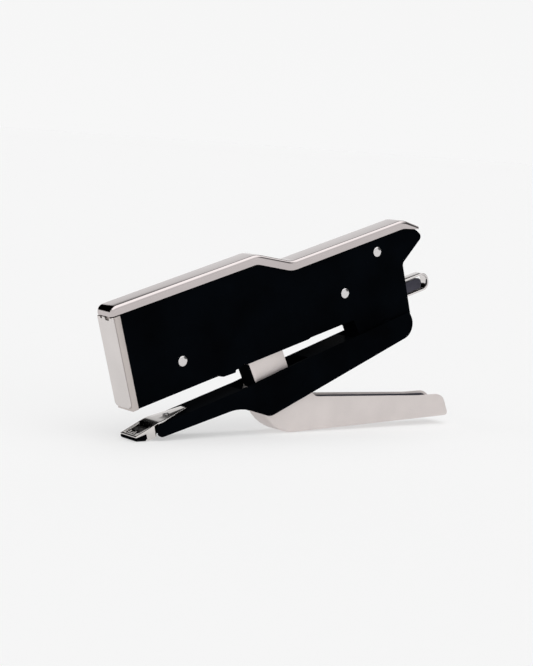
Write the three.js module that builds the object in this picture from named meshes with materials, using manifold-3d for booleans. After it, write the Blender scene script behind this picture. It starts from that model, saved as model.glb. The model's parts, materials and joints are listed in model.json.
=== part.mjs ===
// A slim plier stapler, in millimetres, +Z up.
// The pieces are modelled in the stapler's own frame: x runs rearwards from the nose, y across from the
// middle plane and z up from the body's bottom edge. The whole is then tilted, nose down, so that it
// stands on the sole under its anvil and on the belly of its handle, as it does on a table.
import * as THREE from "three";
import { mergeVertices } from "three/addons/utils/BufferGeometryUtils.js";
import Module from "manifold-3d";

const wasm = await Module();
wasm.setup();

// Clearances
const SEAT_GAP = 0.15; // between sheets that lie on each other
const RUN_GAP = 0.25; // each side of a piece that moves
const BEARING_GAP = 0.1; // round a pin in its hole
const OPEN_PIVOT_GAP = 0.6; // round the link's foot pin, where the closed linkage is opened

// Body
const BODY_LENGTH = 161.8; // nose to the rear tip of the side plates
const NOSE_HEIGHT = 43.2;
const REAR_HEIGHT = 35.1;
const STEP_START = 74; // where the cover starts its step down
const STEP_LENGTH = 17.3;
const COVER_SHEET = 0.4;
const COVER_SHOULDER = 1.5;
const COVER_LIP = 3.85;
const NOSE_RADIUS = 3.2;
const PLATE_SHEET = 0.45;
const FRONT_SHEET = 0.9;
const HOUSING_SHEET = 0.35;
const HOUSING_FLANGE = 3.9; // how far the nose flanges reach back
const NOTCH_INSET = 11.2; // from the rear tip forward to the straight rear edge
const EAR_INSET = 43.3; // from the rear tip forward to the ear's front edge
const EAR_DEPTH = 12.4;

// Staples and magazine
const STAPLE_CROWN = 6;
const STAPLE_HEIGHT = 4.5;
const STRIP_LENGTH = 26.5;
const STAPLE_GAP = 0.2;
const MAGAZINE_SHEET = 0.35;
const MAGAZINE_HEIGHT = 7;
const MAGAZINE_INSET = 34.8; // from the rear tip forward to the magazine's end
const BLADE_SHEET = 0.6;
const BLADE_REST = 6.3; // height of the blade's edge at rest
const BLADE_SWING = 0.95; // how far that edge swings back on its way down

// Rivets and pins
const RIVET_SHANK = 1.1;
const RIVET_HEAD = 2.2;
const RIVET_DOME = 0.75;
const SPACER_WALL = 0.9;
const HAMMER_SHANK = 1.5;
const JAW_PIN_RADIUS = 1.6;
const HANDLE_PIN_RADIUS = 1.4;
const LINK_PIN_RADIUS = 1.1;

// Stirrup, jaw and handle
const LINK_SHEET = 0.45;
const LINK_LENGTH = 18; // along the stapler
const JAW_SHEET = 0.85;
const JAW_FRONT = 9.8;
const JAW_INSET = 12.2; // from the body's rear tip forward to the jaw's
const JAW_TOP = -9.5;
const HANDLE_WIDTH = 11.2;
const HANDLE_SHEET = 0.8;
const HANDLE_REACH = 1.6; // past the body's rear tip
const HANDLE_DEPTH = 11; // height of the rear half's walls
const HANDLE_FALL = 0.26882; // drop of the handle's back over its length
const SLOT_START = 54;
const SLOT_END = 91;

// Pusher
const LOOP_REACH = 4.6; // past the body's rear tip
const LOOP_HEIGHT = 7.8;
const LOOP_SHEET = 0.8;
const LOOP_WIDTH = 4.8;
const ROD_RADIUS = 0.7;

// Tilt of the body when the stapler stands
const TILT = THREE.MathUtils.degToRad(17.4);

// Half widths, from the staples outwards
const magazineInner = STAPLE_CROWN / 2 + STAPLE_GAP;
const magazineOuter = magazineInner + MAGAZINE_SHEET;
const linkInner = magazineOuter + RUN_GAP;
const linkOuter = linkInner + LINK_SHEET;
const plateInner = linkOuter + RUN_GAP;
const plateOuter = plateInner + PLATE_SHEET;
const coverInner = plateOuter + SEAT_GAP;
const coverOuter = coverInner + COVER_SHEET;
const hammerOuter = linkInner - RUN_GAP;
const handleOuter = HANDLE_WIDTH / 2;
const handleInner = handleOuter - HANDLE_SHEET;
const jawInner = handleOuter + RUN_GAP;
const jawOuter = jawInner + JAW_SHEET;

// Places, as [x, z]
const frontRivet = [28.5, 11.9];
const middleRivet = [BODY_LENGTH - 45.9, 13.4];
const hammerPivot = [BODY_LENGTH - 24.7, REAR_HEIGHT - 9.4];
const jawPivot = [BODY_LENGTH - 25.8, -8.2];
const handlePivot = [85.5, -17.5];
const linkHead = [59.2, 23];
const linkFoot = [67.2, -15];

const rearEdge = BODY_LENGTH - NOTCH_INSET;
const earStart = BODY_LENGTH - EAR_INSET;
const magazineEnd = BODY_LENGTH - MAGAZINE_INSET;
const jawRear = BODY_LENGTH - JAW_INSET;
const handleEnd = BODY_LENGTH + HANDLE_REACH;
const loopEnd = BODY_LENGTH + LOOP_REACH;
const stepEnd = STEP_START + STEP_LENGTH;
const housingFront = FRONT_SHEET + SEAT_GAP;
const bladeFront = housingFront + HOUSING_SHEET + RUN_GAP;
const magazineFront = bladeFront + BLADE_SHEET + RUN_GAP;
const magazineFloor = 0.1;
const channelFloor = magazineFloor + MAGAZINE_SHEET;
const rodHeight = 3;

const ARC_STEP = Math.PI / 12;

// ---------------------------------------------------------------- outlines and solids

// The points of a line through corners [x, z, radius], with each corner rounded by an arc.
function rounded(corners, closed = true) {
  const points = [];
  corners.forEach(([x, z, radius = 0], i) => {
    const corner = new THREE.Vector2(x, z);
    const isEnd = !closed && (i === 0 || i === corners.length - 1);
    if (!radius || isEnd) {
      points.push(corner);
      return;
    }
    const [xBefore, zBefore] = corners.at(i - 1);
    const [xAfter, zAfter] = corners[(i + 1) % corners.length];
    const back = new THREE.Vector2(xBefore, zBefore).sub(corner).normalize();
    const ahead = new THREE.Vector2(xAfter, zAfter).sub(corner).normalize();
    const half = back.angleTo(ahead) / 2;
    const toCentre = back.clone().add(ahead).setLength(radius / Math.sin(half));
    const centre = corner.clone().add(toCentre);
    const start = back.setLength(radius / Math.tan(half)).sub(toCentre);
    const end = ahead.setLength(radius / Math.tan(half)).sub(toCentre);
    let sweep = end.angle() - start.angle();
    if (sweep > Math.PI) sweep -= 2 * Math.PI;
    if (sweep < -Math.PI) sweep += 2 * Math.PI;
    const steps = Math.max(1, Math.ceil(Math.abs(sweep) / ARC_STEP));
    for (let k = 0; k <= steps; k += 1) {
      const turn = start.clone().rotateAround(new THREE.Vector2(), (sweep * k) / steps);
      points.push(turn.add(centre));
    }
  });
  return points;
}

// The same open line, moved sideways: to its right for a positive distance.
function offset(line, distance) {
  return line.map((point, i) => {
    const before = line[Math.max(i - 1, 0)];
    const after = line[Math.min(i + 1, line.length - 1)];
    const along = after.clone().sub(before).normalize();
    return new THREE.Vector2(point.x + along.y * distance, point.y - along.x * distance);
  });
}

// A line closed through a far level, which makes the outline of all that is below or above it.
function closedAt(line, level) {
  const first = line[0];
  const last = line.at(-1);
  return [...line, new THREE.Vector2(last.x, level), new THREE.Vector2(first.x, level)];
}

// A slab with this x-z outline, between two distances across the stapler. Its edges can be rounded.
function slab(outline, yLow, yHigh, { holes = [], edge = 0 } = {}) {
  const shape = new THREE.Shape(outline);
  holes.forEach(([[x, z], radius]) => {
    shape.holes.push(new THREE.Path().absarc(x, z, radius, 0, 2 * Math.PI));
  });
  const geometry = new THREE.ExtrudeGeometry(shape, {
    depth: yHigh - yLow - 2 * edge,
    curveSegments: 12,
    bevelEnabled: edge > 0,
    bevelThickness: edge,
    bevelSize: edge,
    bevelOffset: -edge,
    bevelSegments: 3,
  });
  return geometry.rotateX(Math.PI / 2).translate(0, yHigh - edge, 0);
}

// A beam with this y-z section, between two places along the stapler.
function beam(section, xLow, xHigh, edge = 0) {
  const geometry = new THREE.ExtrudeGeometry(new THREE.Shape(section), {
    depth: xHigh - xLow - 2 * edge,
    bevelEnabled: edge > 0,
    bevelThickness: edge,
    bevelSize: edge,
    bevelOffset: -edge,
    bevelSegments: 3,
  });
  const [y, z, x] = [[0, 1, 0], [0, 0, 1], [1, 0, 0]].map((v) => new THREE.Vector3(...v));
  return geometry.applyMatrix4(new THREE.Matrix4().makeBasis(y, z, x)).translate(xLow + edge, 0, 0);
}

// A column with this x-y section, between two heights.
function column(section, zLow, zHigh) {
  const shape = new THREE.Shape(section);
  const geometry = new THREE.ExtrudeGeometry(shape, { depth: zHigh - zLow, bevelEnabled: false });
  return geometry.translate(0, 0, zLow);
}

function box(xLow, xHigh, yLow, yHigh, zLow, zHigh) {
  const geometry = new THREE.BoxGeometry(xHigh - xLow, yHigh - yLow, zHigh - zLow);
  return geometry.translate((xLow + xHigh) / 2, (yLow + yHigh) / 2, (zLow + zHigh) / 2);
}

// A round bar across the stapler, centred on its middle plane.
function crossBar([x, z], radius, halfWidth) {
  return new THREE.CylinderGeometry(radius, radius, 2 * halfWidth, 24).translate(x, 0, z);
}

// A tube across the stapler.
function crossTube([x, z], inner, outer, yLow, yHigh) {
  const circle = new THREE.Path().absarc(x, z, outer, 0, 2 * Math.PI);
  return slab(circle.getPoints(12), yLow, yHigh, { holes: [[[x, z], inner]] });
}

// A turned piece from its half profile of [radius, height], standing along +Y.
function turned(profile, segments = 16) {
  return new THREE.LatheGeometry(
    profile.map(([radius, height]) => new THREE.Vector2(radius, height)),
    segments,
  );
}

// A rivet with a domed head at both ends, whose heads seat at this distance from its middle.
function rivet(shank, head, dome, seat) {
  const top = [
    [shank, seat],
    [head, seat],
    [head * 0.96, seat + dome * 0.35],
    [head * 0.75, seat + dome * 0.75],
    [head * 0.4, seat + dome * 0.96],
    [0, seat + dome],
  ];
  const bottom = top.map(([radius, height]) => [radius, -height]).reverse();
  return turned([...bottom, ...top]);
}

function solid(geometry) {
  const bare = geometry.clone();
  bare.deleteAttribute("normal");
  bare.deleteAttribute("uv");
  const merged = mergeVertices(bare, 1e-4);
  const mesh = new wasm.Mesh({
    numProp: 3,
    vertProperties: merged.attributes.position.array,
    triVerts: new Uint32Array(merged.index.array),
  });
  return new wasm.Manifold(mesh);
}

function geometryOf(body) {
  const mesh = body.getMesh();
  return new THREE.BufferGeometry()
    .setAttribute("position", new THREE.BufferAttribute(mesh.vertProperties, 3))
    .setIndex(new THREE.BufferAttribute(mesh.triVerts, 1));
}

function cut(base, ...tools) {
  return geometryOf(tools.reduce((body, tool) => body.subtract(solid(tool)), solid(base)));
}

// A coil of wire whose axis runs from one point to another, with optional straight legs.
class Coil extends THREE.Curve {
  constructor(start, end, across, radius, turns) {
    super();
    this.start = start;
    this.axis = end.clone().sub(start);
    this.across = across.clone().setLength(radius);
    this.up = this.axis.clone().cross(across).setLength(radius);
    this.turns = turns;
  }

  getPoint(t, target = new THREE.Vector3()) {
    const angle = 2 * Math.PI * this.turns * t;
    return target
      .copy(this.start)
      .addScaledVector(this.axis, t)
      .addScaledVector(this.across, Math.cos(angle))
      .addScaledVector(this.up, Math.sin(angle));
  }
}

function wire(path, radius, steps, sides = 4) {
  const section = new THREE.Shape(new THREE.Path().absarc(0, 0, radius, 0, 2 * Math.PI).getPoints(sides / 2));
  return new THREE.ExtrudeGeometry(section, { steps, extrudePath: path, bevelEnabled: false });
}

// ---------------------------------------------------------------- finishes and the frame

const FINISHES = {
  black_lacquer: [0x070809, 0.22, 0.0],
  chrome: [0xd6d3d1, 0.12, 1.0],
  matte_nickel: [0xc9bfbc, 0.42, 0.9],
  bright_nickel: [0xcfc8c4, 0.2, 1.0],
  dark_steel: [0x46464f, 0.45, 0.6],
  spring_steel: [0x8c8a88, 0.3, 1.0],
};

const stapler = new THREE.Group();
stapler.rotation.y = -TILT;

function addPiece(name, finish, geometry) {
  const [color, roughness, metalness] = FINISHES[finish];
  const piece = new THREE.Mesh(geometry, new THREE.MeshStandardMaterial({ color, roughness, metalness }));
  piece.name = name;
  stapler.add(piece);
}

// ---------------------------------------------------------------- body

// The line of the cover's top, from its front lip over the step to its tail.
const coverLine = rounded(
  [
    [0, NOSE_HEIGHT - COVER_LIP - 4],
    [0, NOSE_HEIGHT, NOSE_RADIUS],
    [STEP_START, NOSE_HEIGHT, 9],
    [stepEnd, REAR_HEIGHT, 9],
    [BODY_LENGTH - 7.3, REAR_HEIGHT, 6],
    [BODY_LENGTH + 0.8, REAR_HEIGHT - 4.9],
  ],
  false,
);

// The line of its lower edge, which the lips on both sides follow.
const lipLine = rounded(
  [
    [-5, NOSE_HEIGHT - COVER_LIP + 0.3],
    [STEP_START - 1.2, NOSE_HEIGHT - COVER_LIP, 6],
    [stepEnd - 1.4, REAR_HEIGHT - COVER_LIP, 10],
    [BODY_LENGTH - 8.6, REAR_HEIGHT - COVER_LIP - 0.3, 6],
    [BODY_LENGTH + 5, REAR_HEIGHT - COVER_LIP - 4.9],
  ],
  false,
);

function topCover() {
  const blank = slab(closedAt(coverLine, REAR_HEIGHT - 20), -coverOuter, coverOuter, { edge: COVER_SHOULDER });
  const insideLine = offset(coverLine, COVER_SHEET);
  insideLine.push(new THREE.Vector2(BODY_LENGTH + 5, insideLine.at(-1).y - 3));
  const edge = COVER_SHOULDER - COVER_SHEET;
  const inside = slab(closedAt(insideLine, REAR_HEIGHT - 25), -coverInner, coverInner, { edge });
  const below = slab(closedAt(lipLine, REAR_HEIGHT - 30), -20, 20);
  return cut(blank, inside, below);
}
addPiece("top_cover", "chrome", topCover());

// A side plate: it follows the cover above, steps along its bottom edge and drops to the jaw's ear.
function sidePlate(yLow, yHigh) {
  const front = housingFront + HOUSING_SHEET + SEAT_GAP;
  const coverClearance = COVER_SHOULDER + RUN_GAP;
  const top = coverLine.filter((point) => point.x > NOSE_RADIUS);
  const topEdge = offset(top, coverClearance).filter((point) => point.x < BODY_LENGTH - 12);
  const tail = rounded(
    [
      [BODY_LENGTH - 12, REAR_HEIGHT - coverClearance],
      [BODY_LENGTH - 7.5, REAR_HEIGHT - 3.4, 4],
      [BODY_LENGTH + 0.4, REAR_HEIGHT - 7.6, 2.4],
      [BODY_LENGTH - 1.6, REAR_HEIGHT - 12.2, 3],
      [rearEdge, 16.5, 2],
      [rearEdge, -6.5, 1],
      [rearEdge - 2.2, -EAR_DEPTH, 3.5],
      [earStart + 3, -EAR_DEPTH, 4],
      [earStart, 0.4, 0.6],
    ],
    false,
  );
  const bottom = rounded(
    [
      [earStart, 0.4],
      [94, 0.4, 1],
      [92.5, 0, 1],
      [58.6, 0, 0.3],
      [58.2, 0.8, 0.3],
      [54.5, 0.2, 1],
      [53, -0.6, 1],
      [45, -0.6, 1],
      [43.5, 0, 1],
      [front, 0],
    ],
    false,
  );
  const outline = [new THREE.Vector2(front, topEdge[0].y), ...topEdge, ...tail, ...bottom.slice(1)];
  const holes = [
    [frontRivet, RIVET_SHANK + BEARING_GAP],
    [middleRivet, RIVET_SHANK + BEARING_GAP],
    [hammerPivot, HAMMER_SHANK + BEARING_GAP],
    [jawPivot, JAW_PIN_RADIUS + BEARING_GAP],
  ];
  return slab(outline, yLow, yHigh, { holes });
}
addPiece("side_plate_left", "black_lacquer", sidePlate(-plateOuter, -plateInner));
addPiece("side_plate_right", "black_lacquer", sidePlate(plateInner, plateOuter));

// The nose: a channel whose flanges lap the side plates, closed by a thick rounded front plate.
const noseTop = NOSE_HEIGHT - COVER_LIP;
const housingInner = plateOuter + SEAT_GAP;
const housingWeb = housingFront + HOUSING_SHEET;
addPiece(
  "nose_housing",
  "matte_nickel",
  column(
    rounded([
      [housingFront, -coverOuter, 0.4],
      [HOUSING_FLANGE, -coverOuter],
      [HOUSING_FLANGE, -housingInner],
      [housingWeb, -housingInner],
      [housingWeb, housingInner],
      [HOUSING_FLANGE, housingInner],
      [HOUSING_FLANGE, coverOuter],
      [housingFront, coverOuter, 0.4],
    ]),
    -0.1,
    noseTop - RUN_GAP,
  ),
);
addPiece(
  "front_plate",
  "bright_nickel",
  beam(
    rounded([
      [-coverOuter, 1.2, 1.6],
      [coverOuter, 1.2, 1.6],
      [coverOuter, noseTop - 0.1, 0.7],
      [-coverOuter, noseTop - 0.1, 0.7],
    ]),
    0,
    FRONT_SHEET,
    0.4,
  ),
);

// Rivets, each with a spacer tube that holds the side plates apart.
function bodyRivet(name, place, shank) {
  const seat = plateOuter + SEAT_GAP;
  const geometry = rivet(shank, RIVET_HEAD, RIVET_DOME, seat).translate(place[0], 0, place[1]);
  addPiece(name, "bright_nickel", geometry);
}
bodyRivet("front_rivet", frontRivet, RIVET_SHANK);
bodyRivet("middle_rivet", middleRivet, RIVET_SHANK);
bodyRivet("hammer_rivet", hammerPivot, HAMMER_SHANK);

function spacer(name, place, shank, halfWidth) {
  const bore = shank + BEARING_GAP;
  addPiece(name, "spring_steel", crossTube(place, bore, bore + SPACER_WALL, -halfWidth, halfWidth));
}
spacer("front_spacer", frontRivet, RIVET_SHANK, plateInner - SEAT_GAP);
spacer("middle_spacer", middleRivet, RIVET_SHANK, plateInner - SEAT_GAP);

// ---------------------------------------------------------------- magazine and pusher

const stripEnd = magazineFront + STRIP_LENGTH;
addPiece(
  "magazine_channel",
  "matte_nickel",
  beam(
    rounded([
      [-magazineOuter, magazineFloor, 0.3],
      [magazineOuter, magazineFloor, 0.3],
      [magazineOuter, MAGAZINE_HEIGHT],
      [magazineInner, MAGAZINE_HEIGHT],
      [magazineInner, channelFloor],
      [-magazineInner, channelFloor],
      [-magazineInner, MAGAZINE_HEIGHT],
      [-magazineOuter, MAGAZINE_HEIGHT],
    ]),
    magazineFront,
    magazineEnd,
  ),
);

const stripFloor = channelFloor + SEAT_GAP;
const stapleWire = 0.5;
addPiece(
  "staple_strip",
  "bright_nickel",
  beam(
    rounded([
      [-STAPLE_CROWN / 2, stripFloor],
      [-STAPLE_CROWN / 2 + stapleWire, stripFloor],
      [-STAPLE_CROWN / 2 + stapleWire, stripFloor + STAPLE_HEIGHT - stapleWire],
      [STAPLE_CROWN / 2 - stapleWire, stripFloor + STAPLE_HEIGHT - stapleWire],
      [STAPLE_CROWN / 2 - stapleWire, stripFloor],
      [STAPLE_CROWN / 2, stripFloor],
      [STAPLE_CROWN / 2, stripFloor + STAPLE_HEIGHT, 0.4],
      [-STAPLE_CROWN / 2, stripFloor + STAPLE_HEIGHT, 0.4],
    ]),
    magazineFront + SEAT_GAP + BLADE_SWING,
    stripEnd,
  ),
);

const pusherHalf = magazineInner - RUN_GAP;
const pusherFront = stripEnd + SEAT_GAP;
const pusherBack = pusherFront + 7;
const stopFront = magazineEnd - 6;
const stopBack = magazineEnd - 1;
const headFront = magazineEnd + 5;
const headBack = headFront + 6;
const rodHole = (xLow, xHigh) => {
  const hole = new THREE.CylinderGeometry(ROD_RADIUS + BEARING_GAP, ROD_RADIUS + BEARING_GAP, xHigh - xLow, 16);
  return hole.rotateZ(Math.PI / 2).translate((xLow + xHigh) / 2, 0, rodHeight);
};
const rodStart = pusherFront + 3;
const rodEnd = headFront + 3;

const pusherBlank = slab(
  rounded([
    [pusherFront, stripFloor],
    [pusherBack, stripFloor, 0.5],
    [pusherBack, 5.6, 1.5],
    [pusherFront, 5.6, 0.5],
  ]),
  -pusherHalf,
  pusherHalf,
);
addPiece("pusher_block", "dark_steel", cut(pusherBlank, rodHole(rodStart - SEAT_GAP, pusherBack + 5)));

const rod = new THREE.CylinderGeometry(ROD_RADIUS, ROD_RADIUS, rodEnd - rodStart, 16);
addPiece(
  "pusher_rod",
  "spring_steel",
  rod.rotateZ(Math.PI / 2).translate((rodStart + rodEnd) / 2, 0, rodHeight),
);

const stopBlank = box(stopFront, stopBack, -magazineInner + SEAT_GAP, magazineInner - SEAT_GAP, stripFloor, 6.4);
addPiece("spring_stop", "dark_steel", cut(stopBlank, rodHole(stopFront - 5, stopBack + 5)));

const pusherCoil = new Coil(
  new THREE.Vector3(pusherBack + 0.6, 0, rodHeight),
  new THREE.Vector3(stopFront - 0.6, 0, rodHeight),
  new THREE.Vector3(0, 1, 0),
  1.75,
  20,
);
addPiece("pusher_spring", "spring_steel", wire(pusherCoil, 0.25, 180));

// The pull: a head on the rod, a nickel loop riveted round it and a dark bar inside the loop.
const loopHalf = LOOP_WIDTH / 2;
const headLow = LOOP_SHEET + SEAT_GAP - 0.1;
const headHigh = LOOP_HEIGHT - LOOP_SHEET - SEAT_GAP;
const loopRivetX = (headFront + headBack) / 2 + 1.4;
const rivetBore = 0.7 + BEARING_GAP;
const uprightHole = new THREE.CylinderGeometry(rivetBore, rivetBore, 30, 16);
uprightHole.rotateX(Math.PI / 2).translate(loopRivetX, 0, 0);
const headBlank = box(headFront, headBack, -loopHalf, loopHalf, headLow, headHigh);
addPiece("pusher_head", "dark_steel", cut(headBlank, rodHole(headFront - 5, rodEnd + SEAT_GAP), uprightHole));

const loopOuter = [
  [headFront, -0.1],
  [loopEnd - 0.2, -0.1, 3.6],
  [loopEnd, LOOP_HEIGHT - 0.2, 3.8],
  [headFront, LOOP_HEIGHT],
];
const loopInner = [
  [headFront, LOOP_HEIGHT - LOOP_SHEET],
  [loopEnd - LOOP_SHEET, LOOP_HEIGHT - LOOP_SHEET - 0.2, 3],
  [loopEnd - LOOP_SHEET - 0.2, LOOP_SHEET - 0.1, 2.8],
  [headFront, LOOP_SHEET - 0.1],
];
const loopBlank = slab([...rounded(loopOuter, false), ...rounded(loopInner, false)], -loopHalf, loopHalf);
addPiece("pull_loop", "bright_nickel", cut(loopBlank, uprightHole));

const loopRivet = rivet(0.7, 1.3, 0.3, LOOP_HEIGHT / 2 + 0.1);
loopRivet.rotateX(Math.PI / 2).translate(loopRivetX, 0, LOOP_HEIGHT / 2 - 0.05);
addPiece("loop_rivet", "bright_nickel", loopRivet);

addPiece(
  "pull_bar",
  "dark_steel",
  slab(
    rounded([
      [headBack + SEAT_GAP, headLow + 0.6],
      [loopEnd - 4.6, headLow + 0.3, 1.2],
      [loopEnd - 3.4, headHigh - 0.6, 2],
      [headBack + SEAT_GAP, headHigh - 0.4],
    ]),
    -1.7,
    1.7,
    { edge: 0.3 },
  ),
);

// ---------------------------------------------------------------- hammer and stirrup

const hammerLow = 19.6;
const hammerHigh = 30.2;
const hammerSheet = 0.6;
const hammerFront = magazineFront + 0.4;

function hammerLever() {
  const outline = rounded([
    [hammerFront, hammerLow + 1.5, 1],
    [linkHead[0] - 6, hammerLow, 4],
    [linkHead[0] + 6, hammerLow, 4],
    [hammerPivot[0] - 8, hammerPivot[1] - 5, 6],
    [hammerPivot[0] + 4.2, hammerPivot[1] - 4.2, 3.5],
    [hammerPivot[0] + 4.2, hammerPivot[1] + 4.2, 3.5],
    [hammerFront, hammerHigh, 0.5],
  ]);
  const pins = [
    [linkHead, LINK_PIN_RADIUS + BEARING_GAP],
    [hammerPivot, HAMMER_SHANK + BEARING_GAP],
  ];
  const blank = slab(outline, -hammerOuter, hammerOuter, { holes: pins });
  const inner = hammerOuter - hammerSheet;
  const hollow = rounded([
    [hammerFront - 5, hammerHigh - hammerSheet],
    [hammerPivot[0] + 20, hammerHigh - hammerSheet],
    [hammerPivot[0] + 20, 0],
    [hammerFront - 5, 0],
  ]);
  const bladeRivetHole = new THREE.CylinderGeometry(rivetBore, rivetBore, 30, 16);
  bladeRivetHole.rotateX(Math.PI / 2).translate(hammerFront + 4, 0, hammerHigh);
  return cut(blank, slab(hollow, -inner, inner), bladeRivetHole);
}
addPiece("hammer_lever", "dark_steel", hammerLever());

// The blade is an L: its tab lies on the lever, its edge stands over the staples.
const bladeHalf = STAPLE_CROWN / 2 - 0.1;
const tabLow = hammerHigh + SEAT_GAP;
const bladeBlank = slab(
  [
    [bladeFront, BLADE_REST],
    [bladeFront + BLADE_SHEET, BLADE_REST],
    [bladeFront + BLADE_SHEET, tabLow],
    [hammerFront + 8, tabLow],
    [hammerFront + 8, tabLow + BLADE_SHEET],
    [bladeFront, tabLow + BLADE_SHEET],
  ].map(([x, z]) => new THREE.Vector2(x, z)),
  -bladeHalf,
  bladeHalf,
);
const tabHole = new THREE.CylinderGeometry(rivetBore, rivetBore, 30, 16);
tabHole.rotateX(Math.PI / 2).translate(hammerFront + 4, 0, hammerHigh);
addPiece("driver_blade", "spring_steel", cut(bladeBlank, tabHole));

const tabThickness = hammerSheet + SEAT_GAP + BLADE_SHEET;
const bladeRivet = rivet(0.7, 1.3, 0.4, tabThickness / 2 + SEAT_GAP);
bladeRivet.rotateX(Math.PI / 2).translate(hammerFront + 4, 0, hammerHigh - hammerSheet + tabThickness / 2);
addPiece("blade_rivet", "spring_steel", bladeRivet);

spacer("hammer_bush", hammerPivot, HAMMER_SHANK, hammerOuter - hammerSheet - SEAT_GAP);
addPiece("link_head_pin", "spring_steel", crossBar(linkHead, LINK_PIN_RADIUS, linkOuter));

const hammerCoil = new Coil(
  new THREE.Vector3(42, 0, MAGAZINE_HEIGHT + 0.6),
  new THREE.Vector3(42, 0, hammerHigh - hammerSheet - 0.6),
  new THREE.Vector3(1, 0, 0),
  1.9,
  7,
);
addPiece("hammer_spring", "spring_steel", wire(hammerCoil, 0.35, 80));
const seatHalf = magazineInner - SEAT_GAP;
addPiece("spring_seat", "dark_steel", box(38.5, 45.5, -seatHalf, seatHalf, MAGAZINE_HEIGHT - 1, MAGAZINE_HEIGHT));

// The stirrup: two side plates that straddle magazine and hammer, joined by a web below the body.
function stirrupLink() {
  const lean = (linkFoot[0] - linkHead[0]) / (linkHead[1] - linkFoot[1]);
  const frontAt = (z) => linkHead[0] + 0.6 + (linkHead[1] - z) * lean - 4.6;
  const outline = rounded([
    [frontAt(linkHead[1] + 3.4) + 1, linkHead[1] + 3.4, 3],
    [frontAt(linkHead[1]) + 8, linkHead[1] + 3.4, 3],
    [frontAt(0) + LINK_LENGTH, 3, 4],
    [frontAt(-18.4) + LINK_LENGTH, -18.4, 4],
    [frontAt(-18.4), -18.4, 3],
  ]);
  const holes = [
    [linkHead, LINK_PIN_RADIUS + BEARING_GAP],
    [linkFoot, LINK_PIN_RADIUS + OPEN_PIVOT_GAP],
  ];
  const blank = slab(outline, -linkOuter, linkOuter, { holes });
  const webTop = -1;
  const behindWeb = [
    [linkHead[0] - 40, 60],
    [linkHead[0] + 60, 60],
    [linkHead[0] + 60, -60],
    [frontAt(-60) + LINK_SHEET, -60],
    [frontAt(webTop) + LINK_SHEET, webTop],
    [linkHead[0] - 40, webTop],
  ].map(([x, z]) => new THREE.Vector2(x, z));
  const underWeb = box(frontAt(0) - 10, linkFoot[0] + 3, -linkInner, linkInner, -30, -12.4);
  return cut(blank, slab(behindWeb, -linkInner, linkInner), underWeb);
}
addPiece("stirrup_link", "matte_nickel", stirrupLink());

// ---------------------------------------------------------------- handle outline

// The corners of the handle's back: down its front, round the belly and along to its rounded end.
const handleFront = 61.5;
const handleTip = -32.3 - HANDLE_FALL * (handleEnd + 0.4 - handleFront);
const handleBack = [
  [handleFront, -11, 2.5],
  [handleFront, -32.3, 20],
  [handleEnd + 0.4, handleTip, 1.6],
  [handleEnd - 1.2, handleTip + HANDLE_DEPTH, 7],
];
const handleRim = [
  [handleEnd - 15.4, handleTip + HANDLE_DEPTH + 4, 16],
  [87.5, -24, 6],
  [handlePivot[0] + 4.5, handlePivot[1] + 4.5, 4],
];
const handleOutline = rounded([...handleBack, ...handleRim]);

// The tilted stapler's lowest level is the handle's belly, and the anvil's sole stands level with it.
const restLevel = Math.min(...handleOutline.map(({ x, y }) => x * Math.sin(TILT) + y * Math.cos(TILT)));
const soleAt = (x) => (restLevel - x * Math.sin(TILT)) / Math.cos(TILT);

// ---------------------------------------------------------------- lower jaw and anvil

const jawTopLine = rounded(
  [
    [JAW_FRONT, JAW_TOP],
    [58, JAW_TOP + 0.4, 20],
    [84.4, JAW_TOP + 1.8, 20],
    [jawRear, JAW_TOP + 4],
  ],
  false,
);
const earNotch = earStart - 2.5;
const anvilRivetX = 19;

function lowerJaw() {
  const underside = rounded(
    [
      [jawRear, JAW_TOP + 4],
      [jawRear + 0.4, -15.4, 6.5],
      [65, -24.9, 5],
      [51, -15.9, 18],
      [JAW_FRONT - 0.1, -14.4, 2.2],
      [JAW_FRONT, JAW_TOP],
    ],
    false,
  );
  const outline = [...jawTopLine.slice(0, -1), ...underside.slice(0, -1)];
  const blank = slab(outline, -jawOuter, jawOuter, { edge: 0.5 });
  const pinHoles = [
    crossBar(jawPivot, JAW_PIN_RADIUS + BEARING_GAP, 20),
    crossBar(handlePivot, HANDLE_PIN_RADIUS + BEARING_GAP, 20),
  ];
  const webUnderside = offset(jawTopLine, JAW_SHEET);
  webUnderside[0].x = -20;
  webUnderside.at(-1).x = jawRear + 20;
  const hollow = slab(closedAt(webUnderside, -60), -jawInner, jawInner);
  const earSpace = box(earNotch, jawRear + 20, -jawInner, jawInner, -30, 20);
  const slotHalf = linkOuter + 0.45;
  const linkSlot = box(SLOT_START, SLOT_END, -slotHalf, slotHalf, -12, 0);
  const rivetHole = new THREE.CylinderGeometry(rivetBore, rivetBore, 10, 16);
  rivetHole.rotateX(Math.PI / 2).translate(anvilRivetX, 0, JAW_TOP);
  return cut(blank, hollow, earSpace, linkSlot, rivetHole, ...pinHoles);
}
addPiece("lower_jaw", "black_lacquer", lowerJaw());

const anvilHalf = jawInner - RUN_GAP;
const tongueLow = JAW_TOP + 0.2 + SEAT_GAP;
const tongueHigh = tongueLow + 0.75;
const tipHigh = -10.3;
const coreLow = -12.6;
const anvilHole = new THREE.CylinderGeometry(rivetBore, rivetBore, 12, 16).rotateX(Math.PI / 2);
anvilHole.translate(anvilRivetX, 0, JAW_TOP);

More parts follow.
